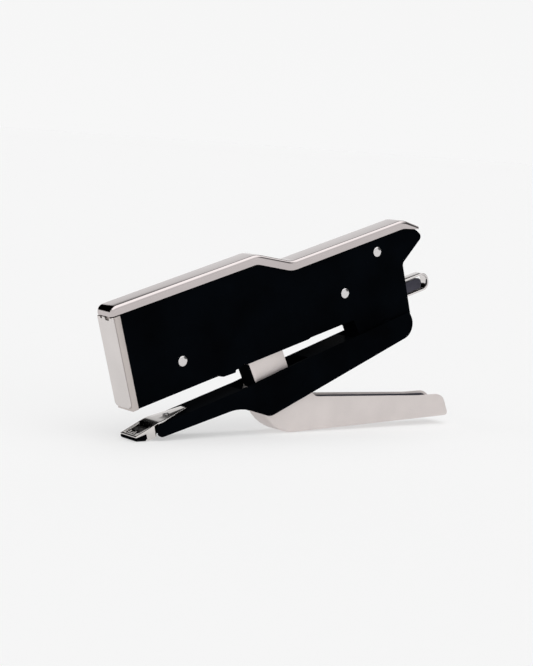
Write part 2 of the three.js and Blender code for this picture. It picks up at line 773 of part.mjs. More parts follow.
// The anvil plate: a dipped tip with two clinching grooves, a skirt behind it and a tongue on the web.
function anvilPlate() {
  const side = rounded([
    [-0.2, tipHigh, 0.3],
    [6, tipHigh + 0.9, 6],
    [JAW_FRONT + 2, tongueHigh, 6],
    [28, tongueHigh, 0.3],
    [28, tongueLow],
    [JAW_FRONT - 0.4, tongueLow],
    [JAW_FRONT - 0.4, -13.8, 0.8],
    [4.9, -13.8, 0.4],
    [4.9, -10.95],
    [-0.2, -10.95, 0.3],
  ]);
  const blank = slab(side, -anvilHalf, anvilHalf);
  const skirtHollow = box(4, JAW_FRONT, -anvilHalf + 0.7, anvilHalf - 0.7, -20, tongueLow - 0.6);
  const taper = (sign) => {
    const section = [
      [14, sign * anvilHalf],
      [40, sign * 2.4],
      [40, sign * 12],
      [14, sign * 12],
    ].map(([x, y]) => new THREE.Vector2(x, y));
    return column(section, -20, 0);
  };
  const grooves = [-1, 1].map((sign) => box(2.2, 3.6, sign * 1.7 - 1.4, sign * 1.7 + 1.4, -10.5, 0));
  return cut(blank, skirtHollow, taper(1), taper(-1), ...grooves, anvilHole);
}
addPiece("anvil_plate", "chrome", anvilPlate());

// The foot under the tip is a long core inside the jaw. Its sole is bevelled level with the table.
function anvilFoot() {
  const soleEnd = 4.1;
  const side = rounded([
    [-0.5, -11.1, 0.3],
    [26, -11.1],
    [26, coreLow],
    [soleEnd + 0.5, coreLow, 0.3],
    [soleEnd, soleAt(soleEnd), 0.2],
    [-0.3, soleAt(-0.3), 0.2],
  ]);
  const blank = slab(side, -anvilHalf, anvilHalf);
  const coreHalf = anvilHalf - 0.7 - RUN_GAP;
  const beside = [-1, 1].map((sign) => {
    const low = sign > 0 ? coreHalf : -20;
    return box(4.6, 40, low, low + 20 - coreHalf, -20, 0);
  });
  return cut(blank, ...beside, anvilHole);
}
addPiece("anvil_foot", "black_lacquer", anvilFoot());

const anvilRivet = rivet(0.7, 1.5, 0.4, (tongueHigh - coreLow) / 2 + SEAT_GAP);
anvilRivet.rotateX(Math.PI / 2).translate(anvilRivetX, 0, (tongueHigh + coreLow) / 2);
addPiece("anvil_rivet", "bright_nickel", anvilRivet);

addPiece("jaw_pin", "black_lacquer", crossBar(jawPivot, JAW_PIN_RADIUS, jawOuter + 0.1));
const washerLow = plateOuter + SEAT_GAP;
const washerHigh = jawInner - SEAT_GAP;
const washerBore = JAW_PIN_RADIUS + BEARING_GAP;
addPiece("jaw_washer_left", "spring_steel", crossTube(jawPivot, washerBore, 3.2, -washerHigh, -washerLow));
addPiece("jaw_washer_right", "spring_steel", crossTube(jawPivot, washerBore, 3.2, washerLow, washerHigh));

// ---------------------------------------------------------------- handle

function handleLever() {
  const blank = slab(handleOutline, -handleOuter, handleOuter, { edge: 0.5 });
  const pinHoles = [
    crossBar(handlePivot, HANDLE_PIN_RADIUS + BEARING_GAP, 20),
    crossBar(linkFoot, LINK_PIN_RADIUS + BEARING_GAP, 20),
  ];
  const inside = offset(rounded(handleBack, false), -HANDLE_SHEET);
  const hollow = slab(closedAt(inside, 20), -handleInner, handleInner);
  return cut(blank, hollow, ...pinHoles);
}
addPiece("handle_lever", "matte_nickel", handleLever());
addPiece("handle_pin", "black_lacquer", crossBar(handlePivot, HANDLE_PIN_RADIUS, jawOuter + 0.1));
addPiece("link_foot_pin", "spring_steel", crossBar(linkFoot, LINK_PIN_RADIUS, handleOuter));

// The handle's return spring: coils round its pin, one leg under the jaw's web, one on the handle's back.
function handleSpring() {
  const coilRadius = 2.1;
  const turns = 6.5;
  const side = 3;
  const [x, z] = handlePivot;
  const start = new THREE.Vector3(x, -side, z);
  const end = new THREE.Vector3(x, side, z);
  const coils = new Coil(start, end, new THREE.Vector3(0, 0, 1), coilRadius, turns);
  const path = new THREE.CurvePath();
  path.add(new THREE.LineCurve3(new THREE.Vector3(x + 10, -side, z + 3.6), coils.getPoint(0)));
  path.add(coils);
  path.add(new THREE.LineCurve3(coils.getPoint(1), new THREE.Vector3(x + 11, side, z - 18)));
  return wire(path, 0.35, 110);
}
addPiece("handle_spring", "spring_steel", handleSpring());

// ---------------------------------------------------------------- joints and placing

// Joint centres in the stapler's own frame, for whoever rigs it.
export const pivots = { hammerPivot, jawPivot, handlePivot, linkHead, linkFoot };

// The group's origin is under the middle of its box, on the surface it stands on.
const part = new THREE.Group();
part.add(stapler);
const extent = new THREE.Box3().setFromObject(part, true);
const middle = extent.getCenter(new THREE.Vector3());
stapler.position.set(-middle.x, -middle.y, -extent.min.z);

export default part;
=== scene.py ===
# %% [markdown]
# # A slim plier stapler
# This lesson dresses a packed stapler for its portrait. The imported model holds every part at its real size
# and place, in metres, and says how the parts move. Here the parts that show are modelled again with
# finer edges, and every part gets a finish. Nothing is moved: a new piece goes where the old part was.

import json
import math

import bmesh
import bpy
from mathutils import Euler, Matrix, Vector


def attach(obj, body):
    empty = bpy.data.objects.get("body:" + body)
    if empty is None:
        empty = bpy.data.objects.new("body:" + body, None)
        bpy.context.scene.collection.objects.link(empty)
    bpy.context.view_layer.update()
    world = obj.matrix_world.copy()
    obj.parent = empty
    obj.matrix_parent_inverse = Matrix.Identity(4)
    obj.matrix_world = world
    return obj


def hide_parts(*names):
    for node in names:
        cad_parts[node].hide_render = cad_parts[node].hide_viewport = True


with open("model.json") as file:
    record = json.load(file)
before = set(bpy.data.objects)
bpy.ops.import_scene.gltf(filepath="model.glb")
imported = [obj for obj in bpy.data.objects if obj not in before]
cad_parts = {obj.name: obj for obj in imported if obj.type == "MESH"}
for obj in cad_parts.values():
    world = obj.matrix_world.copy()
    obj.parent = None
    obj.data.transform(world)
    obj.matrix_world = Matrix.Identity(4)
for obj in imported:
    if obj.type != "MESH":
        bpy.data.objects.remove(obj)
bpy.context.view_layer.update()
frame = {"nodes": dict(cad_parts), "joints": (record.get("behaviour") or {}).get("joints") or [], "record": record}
nodes = frame["nodes"]
joints = {joint["name"]: joint for joint in frame["joints"]}
print("parts:", len(nodes), "joints:", sorted(joints))

# %% [markdown]
# The stapler stands nose down, so its own straight lines are slanted in the world. Modelling is easier in
# the stapler's own frame: x runs back from the nose, y across, z up from the body's bottom edge. The
# pusher slides along x, so its joint gives the slant, and the handle's joint gives a known place.

# %% The stapler's own frame
MM = 0.001
slide = Vector(joints["pusher_pull"]["axis"])
PITCH = math.atan2(slide.z, slide.x)
HANDLE_PIVOT = Vector((85.5, 0, -17.5)) * MM
own_turn = Matrix.Rotation(-PITCH, 4, "Y")
own_origin = Vector(joints["handle_squeeze"]["pos_m"]) - own_turn @ HANDLE_PIVOT
OWN = Matrix.Translation(own_origin) @ own_turn
print("slant in degrees:", round(math.degrees(PITCH), 2), "own origin:", own_origin)

# %% [markdown]
# The camera stands to the front left, a little above the table, and leans slightly. A long lens keeps the
# sides almost parallel.

# %% Camera
CAMERA_PLACE = Vector((-0.4597, -0.5647, 0.1219))
CAMERA_AZIMUTH = 38.454
CAMERA_DROP = 6.334
CAMERA_LEAN = 4.133
CAMERA_LENS = 93.71

camera_data = bpy.data.cameras.new("camera")
camera = bpy.data.objects.new("camera", camera_data)
bpy.context.scene.collection.objects.link(camera)
bpy.context.scene.camera = camera
camera_data.lens = CAMERA_LENS
camera_data.clip_start = 0.01
aim = Euler((math.radians(90 - CAMERA_DROP), 0, math.radians(-CAMERA_AZIMUTH))).to_matrix()
lean = Matrix.Rotation(math.radians(CAMERA_LEAN), 3, "Z")
camera.matrix_world = Matrix.Translation(CAMERA_PLACE) @ (aim @ lean).to_4x4()
print("camera looks along", (aim @ lean) @ Vector((0, 0, -1)))

# %% [markdown]
# The studio is a pale table that runs far back, and a sky that lights it softly. Bright metal only looks
# like metal when it mirrors something, so the sky is not even. It is pale near the horizon, with a broad
# white softbox overhead. Three dark cards stand in it: one behind on the left, which the bend of the nose
# mirrors, one on the right, which shades one side of the rivet heads, and a long one high at the rear,
# which draws the dark line along the cover's shoulder.

# %% Studio
bpy.context.scene.view_settings.view_transform = "Standard"
PALE = (0.45, 0.45, 0.45)

bpy.ops.object.select_all(action="DESELECT")
bpy.ops.mesh.primitive_plane_add(size=60, location=(0, 0, -0.0002))
floor = bpy.context.object
floor.name = "floor"
table = bpy.data.materials.new("table")
table.use_nodes = True
table_shader = table.node_tree.nodes["Principled BSDF"]
table_shader.inputs["Base Color"].default_value = (*PALE, 1)
table_shader.inputs["Roughness"].default_value = 0.9
table_shader.inputs["Specular IOR Level"].default_value = 0.0
table_shader.inputs["Emission Color"].default_value = (1, 1, 1, 1)
table_shader.inputs["Emission Strength"].default_value = 0.465
floor.data.materials.append(table)

world = bpy.data.worlds.new("studio")
bpy.context.scene.world = world
world.use_nodes = True
sky = world.node_tree
sky.nodes.clear()
sky_out = sky.nodes.new("ShaderNodeOutputWorld")
sky_light = sky.nodes.new("ShaderNodeBackground")
sky_place = sky.nodes.new("ShaderNodeTexCoord")
sky_split = sky.nodes.new("ShaderNodeSeparateXYZ")
sky.links.new(sky_place.outputs["Generated"], sky_split.inputs["Vector"])
sky.links.new(sky_light.outputs["Background"], sky_out.inputs["Surface"])


def sky_math(operation, first, second):
    node = sky.nodes.new("ShaderNodeMath")
    node.operation = operation
    for socket, value in zip(node.inputs, (first, second)):
        if isinstance(value, float):
            socket.default_value = value
        else:
            sky.links.new(value, socket)
    return node.outputs["Value"]


def sky_step(value, low, high, at_low, at_high):
    """A soft step from one brightness to another, between two values."""
    node = sky.nodes.new("ShaderNodeMapRange")
    node.interpolation_type = "SMOOTHSTEP"
    for name, number in (("From Min", low), ("From Max", high), ("To Min", at_low), ("To Max", at_high)):
        node.inputs[name].default_value = number
    sky.links.new(value, node.inputs["Value"])
    return node.outputs["Result"]


def sky_card(bearing_from, bearing_to, low, high, darkness, soft=0.07):
    """A dark card, between two bearings in degrees and two heights given as sines of the elevation."""
    start = sky_step(bearing, math.radians(bearing_from) - soft, math.radians(bearing_from) + soft, 0.0, 1.0)
    end = sky_step(bearing, math.radians(bearing_to) - soft, math.radians(bearing_to) + soft, 1.0, 0.0)
    above = sky_step(height, low - soft / 2, low + soft / 2, 0.0, darkness)
    below = sky_step(height, high - soft / 2, high + soft / 2, 1.0, 0.0)
    covered = sky_math("MULTIPLY", sky_math("MULTIPLY", start, end), sky_math("MULTIPLY", above, below))
    return sky_math("SUBTRACT", 1.0, covered)


bearing = sky_math("ARCTAN2", sky_split.outputs["Y"], sky_split.outputs["X"])
height = sky_split.outputs["Z"]
sky_ramp = sky.nodes.new("ShaderNodeValToRGB")
sky.links.new(height, sky_ramp.inputs["Fac"])
ramp = sky_ramp.color_ramp
sky_stops = [(0.0, 0.93), (0.30, 0.90), (0.46, 0.84), (0.62, 0.90), (0.73, 1.55), (1.0, 1.75)]
while len(ramp.elements) < len(sky_stops):
    ramp.elements.new(0.5)
for element, (place, brightness) in zip(ramp.elements, sky_stops):
    element.position = place
    element.color = (brightness, brightness, brightness, 1)
back_card = sky_card(76, 140, 0.09, 0.9, 1.0)
right_card = sky_card(-48, 12, 0.10, 0.62, 0.88)
rear_card = sky_card(20, 160, 0.48, 0.72, 0.96)
shaded = sky_math("MULTIPLY", sky_math("MULTIPLY", back_card, right_card), rear_card)
sky_mix = sky.nodes.new("ShaderNodeVectorMath")
sky_mix.operation = "SCALE"
sky.links.new(sky_ramp.outputs["Color"], sky_mix.inputs["Vector"])
sky.links.new(shaded, sky_mix.inputs["Scale"])
sky.links.new(sky_mix.outputs["Vector"], sky_light.inputs["Color"])
print("studio: table, sky and three dark cards")

# %% [markdown]
# Finishes come next. Each is built from nodes on object coordinates, so it stays put on the part. A noise
# at the scale of the real surface changes the roughness a little and lifts the surface by a few
# micrometres: orange peel in lacquer, fine blasting in nickel, drawn lines on wire and rolled sheet.

# %% Helpers for finishes
def new_finish(name, color, metallic, roughness):
    material = bpy.data.materials.new(name)
    material.use_nodes = True
    shader = material.node_tree.nodes["Principled BSDF"]
    shader.inputs["Base Color"].default_value = (*color, 1)
    shader.inputs["Metallic"].default_value = metallic
    shader.inputs["Roughness"].default_value = roughness
    return material, material.node_tree, shader


def place_of(tree, stretch=(1, 1, 1)):
    """Object coordinates turned into the stapler's own frame, and stretched along its axes."""
    source = tree.nodes.new("ShaderNodeTexCoord")
    turn = tree.nodes.new("ShaderNodeMapping")
    turn.inputs["Rotation"].default_value = (0, PITCH, 0)
    scale = tree.nodes.new("ShaderNodeMapping")
    scale.inputs["Scale"].default_value = stretch
    tree.links.new(source.outputs["Object"], turn.inputs["Vector"])
    tree.links.new(turn.outputs["Vector"], scale.inputs["Vector"])
    return scale.outputs["Vector"]


def grain(tree, per_metre, detail=3.0, stretch=(1, 1, 1)):
    texture = tree.nodes.new("ShaderNodeTexNoise")
    texture.inputs["Scale"].default_value = per_metre
    texture.inputs["Detail"].default_value = detail
    tree.links.new(place_of(tree, stretch), texture.inputs["Vector"])
    return texture.outputs["Fac"]


def remap(tree, value, low, high, low_at=0.3, high_at=0.7):
    node = tree.nodes.new("ShaderNodeMapRange")
    node.inputs["From Min"].default_value = low_at
    node.inputs["From Max"].default_value = high_at
    node.inputs["To Min"].default_value = low
    node.inputs["To Max"].default_value = high
    tree.links.new(value, node.inputs["Value"])
    return node.outputs["Result"]


def mottle(tree, shader, value, color_low, color_high):
    """Varies the base colour between two near shades."""
    mix = tree.nodes.new("ShaderNodeMix")
    mix.data_type = "RGBA"
    socket = {each.identifier: each for each in mix.inputs}
    socket["A_Color"].default_value = (*color_low, 1)
    socket["B_Color"].default_value = (*color_high, 1)
    tree.links.new(value, socket["Factor_Float"])
    color = {each.identifier: each for each in mix.outputs}["Result_Color"]
    tree.links.new(color, shader.inputs["Base Color"])


def lift(tree, shader, value, height, strength=1.0, after=None):
    """Raises the surface by a height in metres where the value is high."""
    bump = tree.nodes.new("ShaderNodeBump")
    bump.inputs["Distance"].default_value = height
    bump.inputs["Strength"].default_value = strength
    tree.links.new(value, bump.inputs["Height"])
    if after is not None:
        tree.links.new(after, bump.inputs["Normal"])
    tree.links.new(bump.outputs["Normal"], shader.inputs["Normal"])
    return bump.outputs["Normal"]


# %% [markdown]
# The body and jaw are stove lacquered: nearly black, with a faint peel. Dust and finger marks make the
# gloss a little uneven. The black and its reflections are tinted blue: a painted reflection of the dark
# blue sheen on the lacquer. A low index of refraction keeps the sides as deep black as the real lacquer.

# %% Black lacquer
LACQUER_IOR = 1.012


def black_lacquer():
    material, tree, shader = new_finish("black_lacquer", (0.002, 0.0025, 0.003), 0.0, 0.3)
    shader.inputs["IOR"].default_value = LACQUER_IOR
    # Painted reflection: the blue specular tint colours the lacquer's reflections blue.
    shader.inputs["Specular Tint"].default_value = (0.55, 0.78, 1.0, 1)
    smudge_and_blue_sheen = grain(tree, 45, 5)
    # Painted reflection: the mottle runs from black to a bluish black, bluer where the noise is high, standing in
    # for a blue sheen. The same noise makes the gloss uneven, as dust does.
    mottle(tree, shader, remap(tree, smudge_and_blue_sheen, 0, 1), (0.0010, 0.0012, 0.0016), (0.0018, 0.0026, 0.0038))
    tree.links.new(remap(tree, smudge_and_blue_sheen, 0.22, 0.36), shader.inputs["Roughness"])
    peel = lift(tree, shader, grain(tree, 700, 2), 0.000012)
    lift(tree, shader, grain(tree, 6000, 1), 0.0000015, after=peel)
    return material


# %% [markdown]
# The cover, nose and anvil are nickel-chromed sheet. Handling leaves hairlines along the sheet, and
# pressing leaves it very slightly wavy, which bends the mirrored studio.

# %% Bright plating
def bright_plating(name, color, roughness, hairline=(0.03, 1, 1)):
    material, tree, shader = new_finish(name, color, 1.0, roughness)
    wipe = grain(tree, 60, 4)
    dark = tuple(part * 0.93 for part in color)
    mottle(tree, shader, remap(tree, wipe, 0, 1), dark, color)
    tree.links.new(remap(tree, wipe, roughness * 0.75, roughness * 1.3), shader.inputs["Roughness"])
    wave = lift(tree, shader, grain(tree, 90, 1), 0.00002, 0.6)
    lift(tree, shader, grain(tree, 5000, 2, hairline), 0.0000012, 0.8, after=wave)
    return material


# %% [markdown]
# Handle and stirrup are nickel over a blasted surface. It is matte and warm grey, with a fine sparkle of
# light and dark grains, about a tenth of a millimetre apart.

# %% Matte nickel
def matte_nickel(name="matte_nickel", color=(0.80, 0.74, 0.72), grain_height=0.000006):
    material, tree, shader = new_finish(name, color, 0.75, 0.5)
    fine = grain(tree, 3600, 3)
    broad = grain(tree, 70, 4)
    blend = tree.nodes.new("ShaderNodeMath")
    blend.operation = "MULTIPLY_ADD"
    blend.inputs[1].default_value = 0.65
    tree.links.new(fine, blend.inputs[0])
    tree.links.new(remap(tree, broad, 0.05, 0.3), blend.inputs[2])
    dark = tuple(part * 0.84 for part in color)
    mottle(tree, shader, remap(tree, blend.outputs["Value"], 0, 1, 0.3, 0.8), dark, color)
    tree.links.new(remap(tree, fine, 0.44, 0.60), shader.inputs["Roughness"])
    lift(tree, shader, fine, grain_height)
    return material


# %% [markdown]
# Inside, the parts are plain steel: the levers oiled and dark, the channel and pins bare, the wire drawn.
# Fine lines run along the sheet where the rolls and dies marked it.

# %% Plain steels
def plain_steel(name, color, roughness, metallic=1.0, stretch=(0.06, 1, 1)):
    material, tree, shader = new_finish(name, color, metallic, roughness)
    rolled = grain(tree, 2600, 3, stretch)
    stain = grain(tree, 120, 4)
    dark = tuple(part * 0.72 for part in color)
    mottle(tree, shader, remap(tree, stain, 0, 1), dark, color)
    tree.links.new(remap(tree, rolled, roughness * 0.8, roughness * 1.25), shader.inputs["Roughness"])
    lift(tree, shader, rolled, 0.000004)
    return material


# %% All finishes
finishes = {
    "black_lacquer": black_lacquer(),
    "cover_chrome": bright_plating("cover_chrome", (0.57, 0.52, 0.515), 0.075),
    "nose_chrome": bright_plating("nose_chrome", (0.70, 0.66, 0.645), 0.2, (1, 1, 0.03)),
    "nose_nickel": matte_nickel("nose_nickel", (0.64, 0.585, 0.56), 0.000004),
    "rivet_nickel": bright_plating("rivet_nickel", (0.70, 0.68, 0.68), 0.16, (1, 1, 1)),
    "matte_nickel": matte_nickel(),
    "anvil_chrome": bright_plating("anvil_chrome", (0.72, 0.69, 0.67), 0.12),
    "loop_nickel": bright_plating("loop_nickel", (0.72, 0.69, 0.68), 0.14),
    "dark_steel": plain_steel("dark_steel", (0.06, 0.058, 0.078), 0.4, 0.8),
    "inner_steel": plain_steel("inner_steel", (0.40, 0.39, 0.38), 0.36),
    "spring_wire": plain_steel("spring_wire", (0.34, 0.33, 0.325), 0.3, 1.0, (1, 1, 1)),
    "staple_wire": plain_steel("staple_wire", (0.60, 0.60, 0.61), 0.28, 1.0, (1, 1, 1)),
}
slot_of = {entry["node"]: entry["material_slot"] for entry in frame["record"]["subparts"]}
for name, node in nodes.items():
    node.data.materials.clear()
    node.data.materials.append(finishes[slot_of[name]])
print("finishes:", len(finishes))

# %% [markdown]
# Most parts are pressed from sheet, so each starts as its side view. A plane is merged to one point, the
# point is extruded from corner to corner, and each corner is rounded by a vertex bevel. The face is then
# pulled across the stapler to make a block. Faces, edges and points are selected by where they lie.

# %% Helpers for shaping
CORNER_STEP = math.radians(9)


def pick(kind, test):
    """Selects, in edit mode, the points, edges or faces that pass the test."""
    bpy.ops.mesh.select_all(action="DESELECT")
    bpy.ops.mesh.select_mode(type=kind)
    mesh = bmesh.from_edit_mesh(bpy.context.object.data)
    mesh.normal_update()
    items = {"VERT": mesh.verts, "EDGE": mesh.edges, "FACE": mesh.faces}[kind]
    chosen = [item for item in items if test(item)]
    for item in chosen:
        item.select_set(True)
    mesh.select_flush_mode()
    bmesh.update_edit_mesh(bpy.context.object.data)
    return len(chosen)


def at(item):
    """The middle of a point, edge or face, in millimetres."""
    if isinstance(item, bmesh.types.BMVert):
        return item.co / MM
    if isinstance(item, bmesh.types.BMEdge):
        return (item.verts[0].co + item.verts[1].co) / (2 * MM)
    return item.calc_center_median() / MM


def on_side(item, half):
    """True if it lies in one of the two sides of a block."""
    return abs(abs(at(item).y) - half) < 0.01


def spot(along, level, up, view):
    """A place in metres: the side view runs along x, the end view across y."""
    return Vector((along, level, up) if view == "side" else (level, along, up)) * MM


def round_corner(place, radius, before, after):
    """Rounds the corner at a place, with a radius in millimetres, between its two neighbours."""
    back = (before - place).normalized()
    ahead = (after - place).normalized()
    inside = back.angle(ahead)
    reach = radius / math.tan(inside / 2)
    steps = max(3, math.ceil((math.pi - inside) / CORNER_STEP))
    pick("VERT", lambda point: (point.co - place).length < 0.01 * MM)
    bpy.ops.mesh.bevel(
        offset=reach * MM,
        segments=steps,
        profile=0.5,
        affect="VERTICES",
        clamp_overlap=False,
    )


def draw_outline(name, corners, level, view="side", closed=True):
    """Starts a piece: a line through corners [along, up, radius], filled with a face if it closes."""
    bpy.ops.object.select_all(action="DESELECT")
    bpy.ops.mesh.primitive_plane_add(size=MM)
    piece = bpy.context.object
    piece.name = name
    piece.data.name = name
    places = [spot(corner[0], level, corner[1], view) for corner in corners]
    bpy.ops.object.mode_set(mode="EDIT")
    bpy.ops.mesh.select_mode(type="VERT")
    bpy.ops.mesh.select_all(action="SELECT")
    bpy.ops.mesh.merge(type="CENTER")
    bpy.ops.transform.translate(value=places[0])
    for start, end in zip(places, places[1:]):
        bpy.ops.mesh.extrude_region_move(TRANSFORM_OT_translate={"value": end - start})
    bpy.ops.mesh.select_all(action="SELECT")
    if closed:
        bpy.ops.mesh.edge_face_add()
    for index, corner in enumerate(corners):
        if len(corner) > 2 and corner[2]:
            after = places[(index + 1) % len(places)]
            round_corner(places[index], corner[2], places[index - 1], after)
    return piece


def pull_across(depth, view="side"):
    """Extrudes everything across the stapler, or along it from an end view."""
    bpy.ops.mesh.select_all(action="SELECT")
    way = Vector((0, depth, 0) if view == "side" else (depth, 0, 0)) * MM
    bpy.ops.mesh.extrude_region_move(TRANSFORM_OT_translate={"value": way})
    bpy.ops.mesh.select_all(action="SELECT")
    bpy.ops.mesh.normals_make_consistent(inside=False)


def block(name, corners, half, view="side"):
    piece = draw_outline(name, corners, -half, view)
    pull_across(2 * half, view)
    return piece


def round_edges(test, size, steps):
    """Rounds the edges that pass the test, to a size in millimetres."""
    pick("EDGE", test)
    bpy.ops.mesh.bevel(
        offset=size * MM,
        segments=steps,
        profile=0.5,
        affect="EDGES",
        clamp_overlap=False,
    )


def remove_faces(test):
    pick("FACE", test)
    bpy.ops.mesh.delete(type="FACE")


def slice_at(place, normal):
    """Cuts through everything with a plane, in millimetres."""
    bpy.ops.mesh.select_all(action="SELECT")
    bpy.ops.mesh.bisect(plane_co=Vector(place) * MM, plane_no=normal, clear_inner=False, clear_outer=False)


def apply_modifier(piece, kind, **settings):
    modifier = piece.modifiers.new(kind.lower(), kind)
    for name, value in settings.items():
        setattr(modifier, name, value)
    bpy.ops.object.modifier_apply(modifier=modifier.name)


def sheet(piece, thickness):
    """Leaves edit mode and thickens the skin inwards."""
    bpy.ops.object.mode_set(mode="OBJECT")
    apply_modifier(piece, "SOLIDIFY", thickness=thickness * MM, offset=-1.0, use_even_offset=True)


def soften(piece, edge=0.1, steps=2, angle=40):
    """Breaks the sharp edges and smooths the shading."""
    if piece.mode == "EDIT":
        bpy.ops.object.mode_set(mode="OBJECT")
    apply_modifier(
        piece,
        "BEVEL",
        width=edge * MM,
        segments=steps,
        limit_method="ANGLE",
        angle_limit=math.radians(angle),
        use_clamp_overlap=True,
        harden_normals=False,
    )
    bpy.ops.object.shade_smooth_by_angle(angle=math.radians(35))


def install(piece, body, finish, *replaced):
    """Moves the mesh into the row frame, gives it its finish and lets it ride on its body."""
    piece.select_set(True)
    bpy.context.view_layer.objects.active = piece
    piece.matrix_world = OWN
    bpy.ops.object.transform_apply(location=True, rotation=True, scale=True)
    piece.data.materials.clear()
    piece.data.materials.append(finishes[finish])
    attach(piece, body)
    if replaced:
        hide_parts(*replaced)
    print(piece.name, "faces:", len(piece.data.polygons))


# %% [markdown]
# The half widths nest from the magazine outwards, and every piece below uses them.

# %% Widths, in millimetres
LINK_HALF = 4.25
PLATE_INNER = 4.5
PLATE_OUTER = 4.95
COVER_HALF = 5.5
HANDLE_HALF = 5.6
JAW_HALF = 6.7
JAW_INNER = 5.85

# %% [markdown]
# The cover is one pressing: flat along the top, stepped down behind the middle, with rounded shoulders
# and a lip on each side. It is a block with bevelled shoulders whose underside and tail are taken away,
# and the skin that is left is thickened inwards.

# %% Top cover
COVER_SIDE = [
    (0.05, 39.6),
    (0.05, 43.2, 3.2),
    (74, 43.2, 9),
    (91.3, 35.1, 9),
    (154.6, 35.1, 7),
    (162.9, 30.0),
    (162.1, 28.8),
    (153.6, 31.5, 8),
    (89.9, 31.3, 10),
    (72.8, 39.35, 6),
]
LIP_SLOPE = 8.1 / 17.1


def above_lip(place):
    """True on the cover's back, clear of the lip line."""
    level = 39.6 if place.x < 73 else max(31.2, 39.6 - (place.x - 73) * LIP_SLOPE)
    if place.x > 153:
        level = 31.2 - (place.x - 153) * 0.34
    return place.z > level + 1.2


cover = block("cover_sheet", COVER_SIDE, COVER_HALF)
remove_faces(lambda face: abs(face.normal.y) < 0.5 and not above_lip(at(face)) and at(face).x > 0.6)
remove_faces(lambda face: face.normal.x > 0.95 and at(face).x > 162)
remove_faces(lambda face: face.normal.z < -0.5)
round_edges(lambda edge: edge.is_manifold and on_side(edge, COVER_HALF), 1.4, 7)
sheet(cover, 0.4)
soften(cover, 0.1, 2, 50)
install(cover, "root", "cover_chrome", "top_cover")

# %% [markdown]
# The nose is a channel of plain nickel whose flanges lap the side plates. A bright front plate with
# rounded edges closes it. The plate is a little shorter than the channel and has two notches at its top,
# where the lugs of the cover reach in.

# %% Nose
nose = block("nose_channel", [(1.05, -0.1), (1.05, 39.1), (3.9, 39.1), (3.9, -0.1)], COVER_HALF)
remove_faces(lambda face: abs(face.normal.z) > 0.9 or face.normal.x > 0.9)
round_edges(lambda edge: edge.is_manifold and abs(edge.verts[0].co.z - edge.verts[1].co.z) > MM, 0.45, 5)
sheet(nose, 0.4)
soften(nose, 0.09)
install(nose, "root", "nose_nickel", "nose_housing")

PLATE_END = [
    (-COVER_HALF, 1.2, 1.8),
    (COVER_HALF, 1.2, 1.8),
    (COVER_HALF, 39.25, 0.7),
    (3.3, 39.25),
    (3.1, 38.35),
    (1.9, 38.35),
    (1.7, 39.25),
    (0.1, 39.25),
    (-0.3, 37.9),
    (-2.9, 37.9),
    (-3.3, 39.25),
    (-COVER_HALF, 39.25, 0.7),
]
plate = draw_outline("nose_plate", PLATE_END, 0, "end")
pull_across(0.9, "end")
round_edges(lambda edge: at(edge).x < 0.01 and (at(edge).z < 30 or abs(at(edge).y) > 3.31), 0.45, 5)
soften(plate, 0.12, 3)
install(plate, "root", "nose_chrome", "front_plate")

# %% [markdown]
# The side plates are flat blanks of lacquered sheet. Their bottom edge has the small steps that clear the
# stirrup, and the tail drops to the ear that carries the jaw.

# %% Side plates
SIDE_PLATE = [
    (1.55, 41.2, 0.3),
    (73.6, 41.45, 9),
    (91.0, 33.35, 9),
    (150.5, 33.35),
    (160.6, 29.4, 6),
    (164.2, 25.0, 2.0),
    (150.6, 16.4, 2),
    (150.6, -6.5, 1),
    (148.4, -12.4, 3.5),
    (121.5, -12.4, 4),
    (118.5, 0.4, 0.6),
    (94, 0.4, 1),
    (92.5, 0, 1),
    (58.6, 0, 0.25),
    (58.2, 0.8, 0.25),
    (55, -0.3, 0.2),
    (53.3, -0.4, 0.2),
    (52.9, -1.4, 0.4),
    (46.6, -1.1, 1),
    (44.2, 0, 1),
    (1.55, 0, 0.2),
]
for side, low in (("left", -PLATE_OUTER), ("right", PLATE_INNER)):
    blank = draw_outline("side_blank_" + side, SIDE_PLATE, low)
    pull_across(PLATE_OUTER - PLATE_INNER)
    soften(blank, 0.11, 3)
    install(blank, "root", "black_lacquer", "side_plate_" + side)

# %% [markdown]
# Rivet heads are low domes with a tight rim. A disc is inset again and again, and each ring is lifted a
# little less than the last, which draws the dome as a set of rings. Both heads and the shank are one
# piece, made once and copied to the three places.

# %% Body rivets
DOME_RINGS = [(0.0, 0.22), (0.12, 0.13), (0.22, 0.12), (0.32, 0.12), (0.42, 0.09), (0.5, 0.05), (0.3, 0.015)]


def dome_rivet(name, shank, head, reach):
    """A rivet across the stapler at the origin, its heads resting at plus and minus reach."""
    bpy.ops.object.select_all(action="DESELECT")
    bpy.ops.mesh.primitive_cylinder_add(vertices=64, radius=shank * MM, depth=2 * reach * MM)
    rivet = bpy.context.object
    rivet.name = name
    bpy.ops.object.mode_set(mode="EDIT")
    for end in (-1, 1):
        pick("FACE", lambda face: at(face).z * end > reach - 0.01)
        bpy.ops.mesh.extrude_region_move(TRANSFORM_OT_translate={"value": (0, 0, 0)})
        bpy.ops.transform.resize(value=(head / shank, head / shank, 1))
        for shrink, rise in DOME_RINGS:
            bpy.ops.mesh.extrude_region_move(TRANSFORM_OT_translate={"value": (0, 0, end * rise * MM)})
            keep = 1 - shrink / 2.2
            bpy.ops.transform.resize(value=(keep, keep, 1))
        bpy.ops.mesh.poke()
    bpy.ops.mesh.select_all(action="SELECT")
    bpy.ops.mesh.normals_make_consistent(inside=False)
    bpy.ops.transform.rotate(value=math.radians(90), orient_axis="X", center_override=(0, 0, 0))
    bpy.ops.object.mode_set(mode="OBJECT")
    bpy.ops.object.shade_smooth_by_angle(angle=math.radians(50))
    return rivet


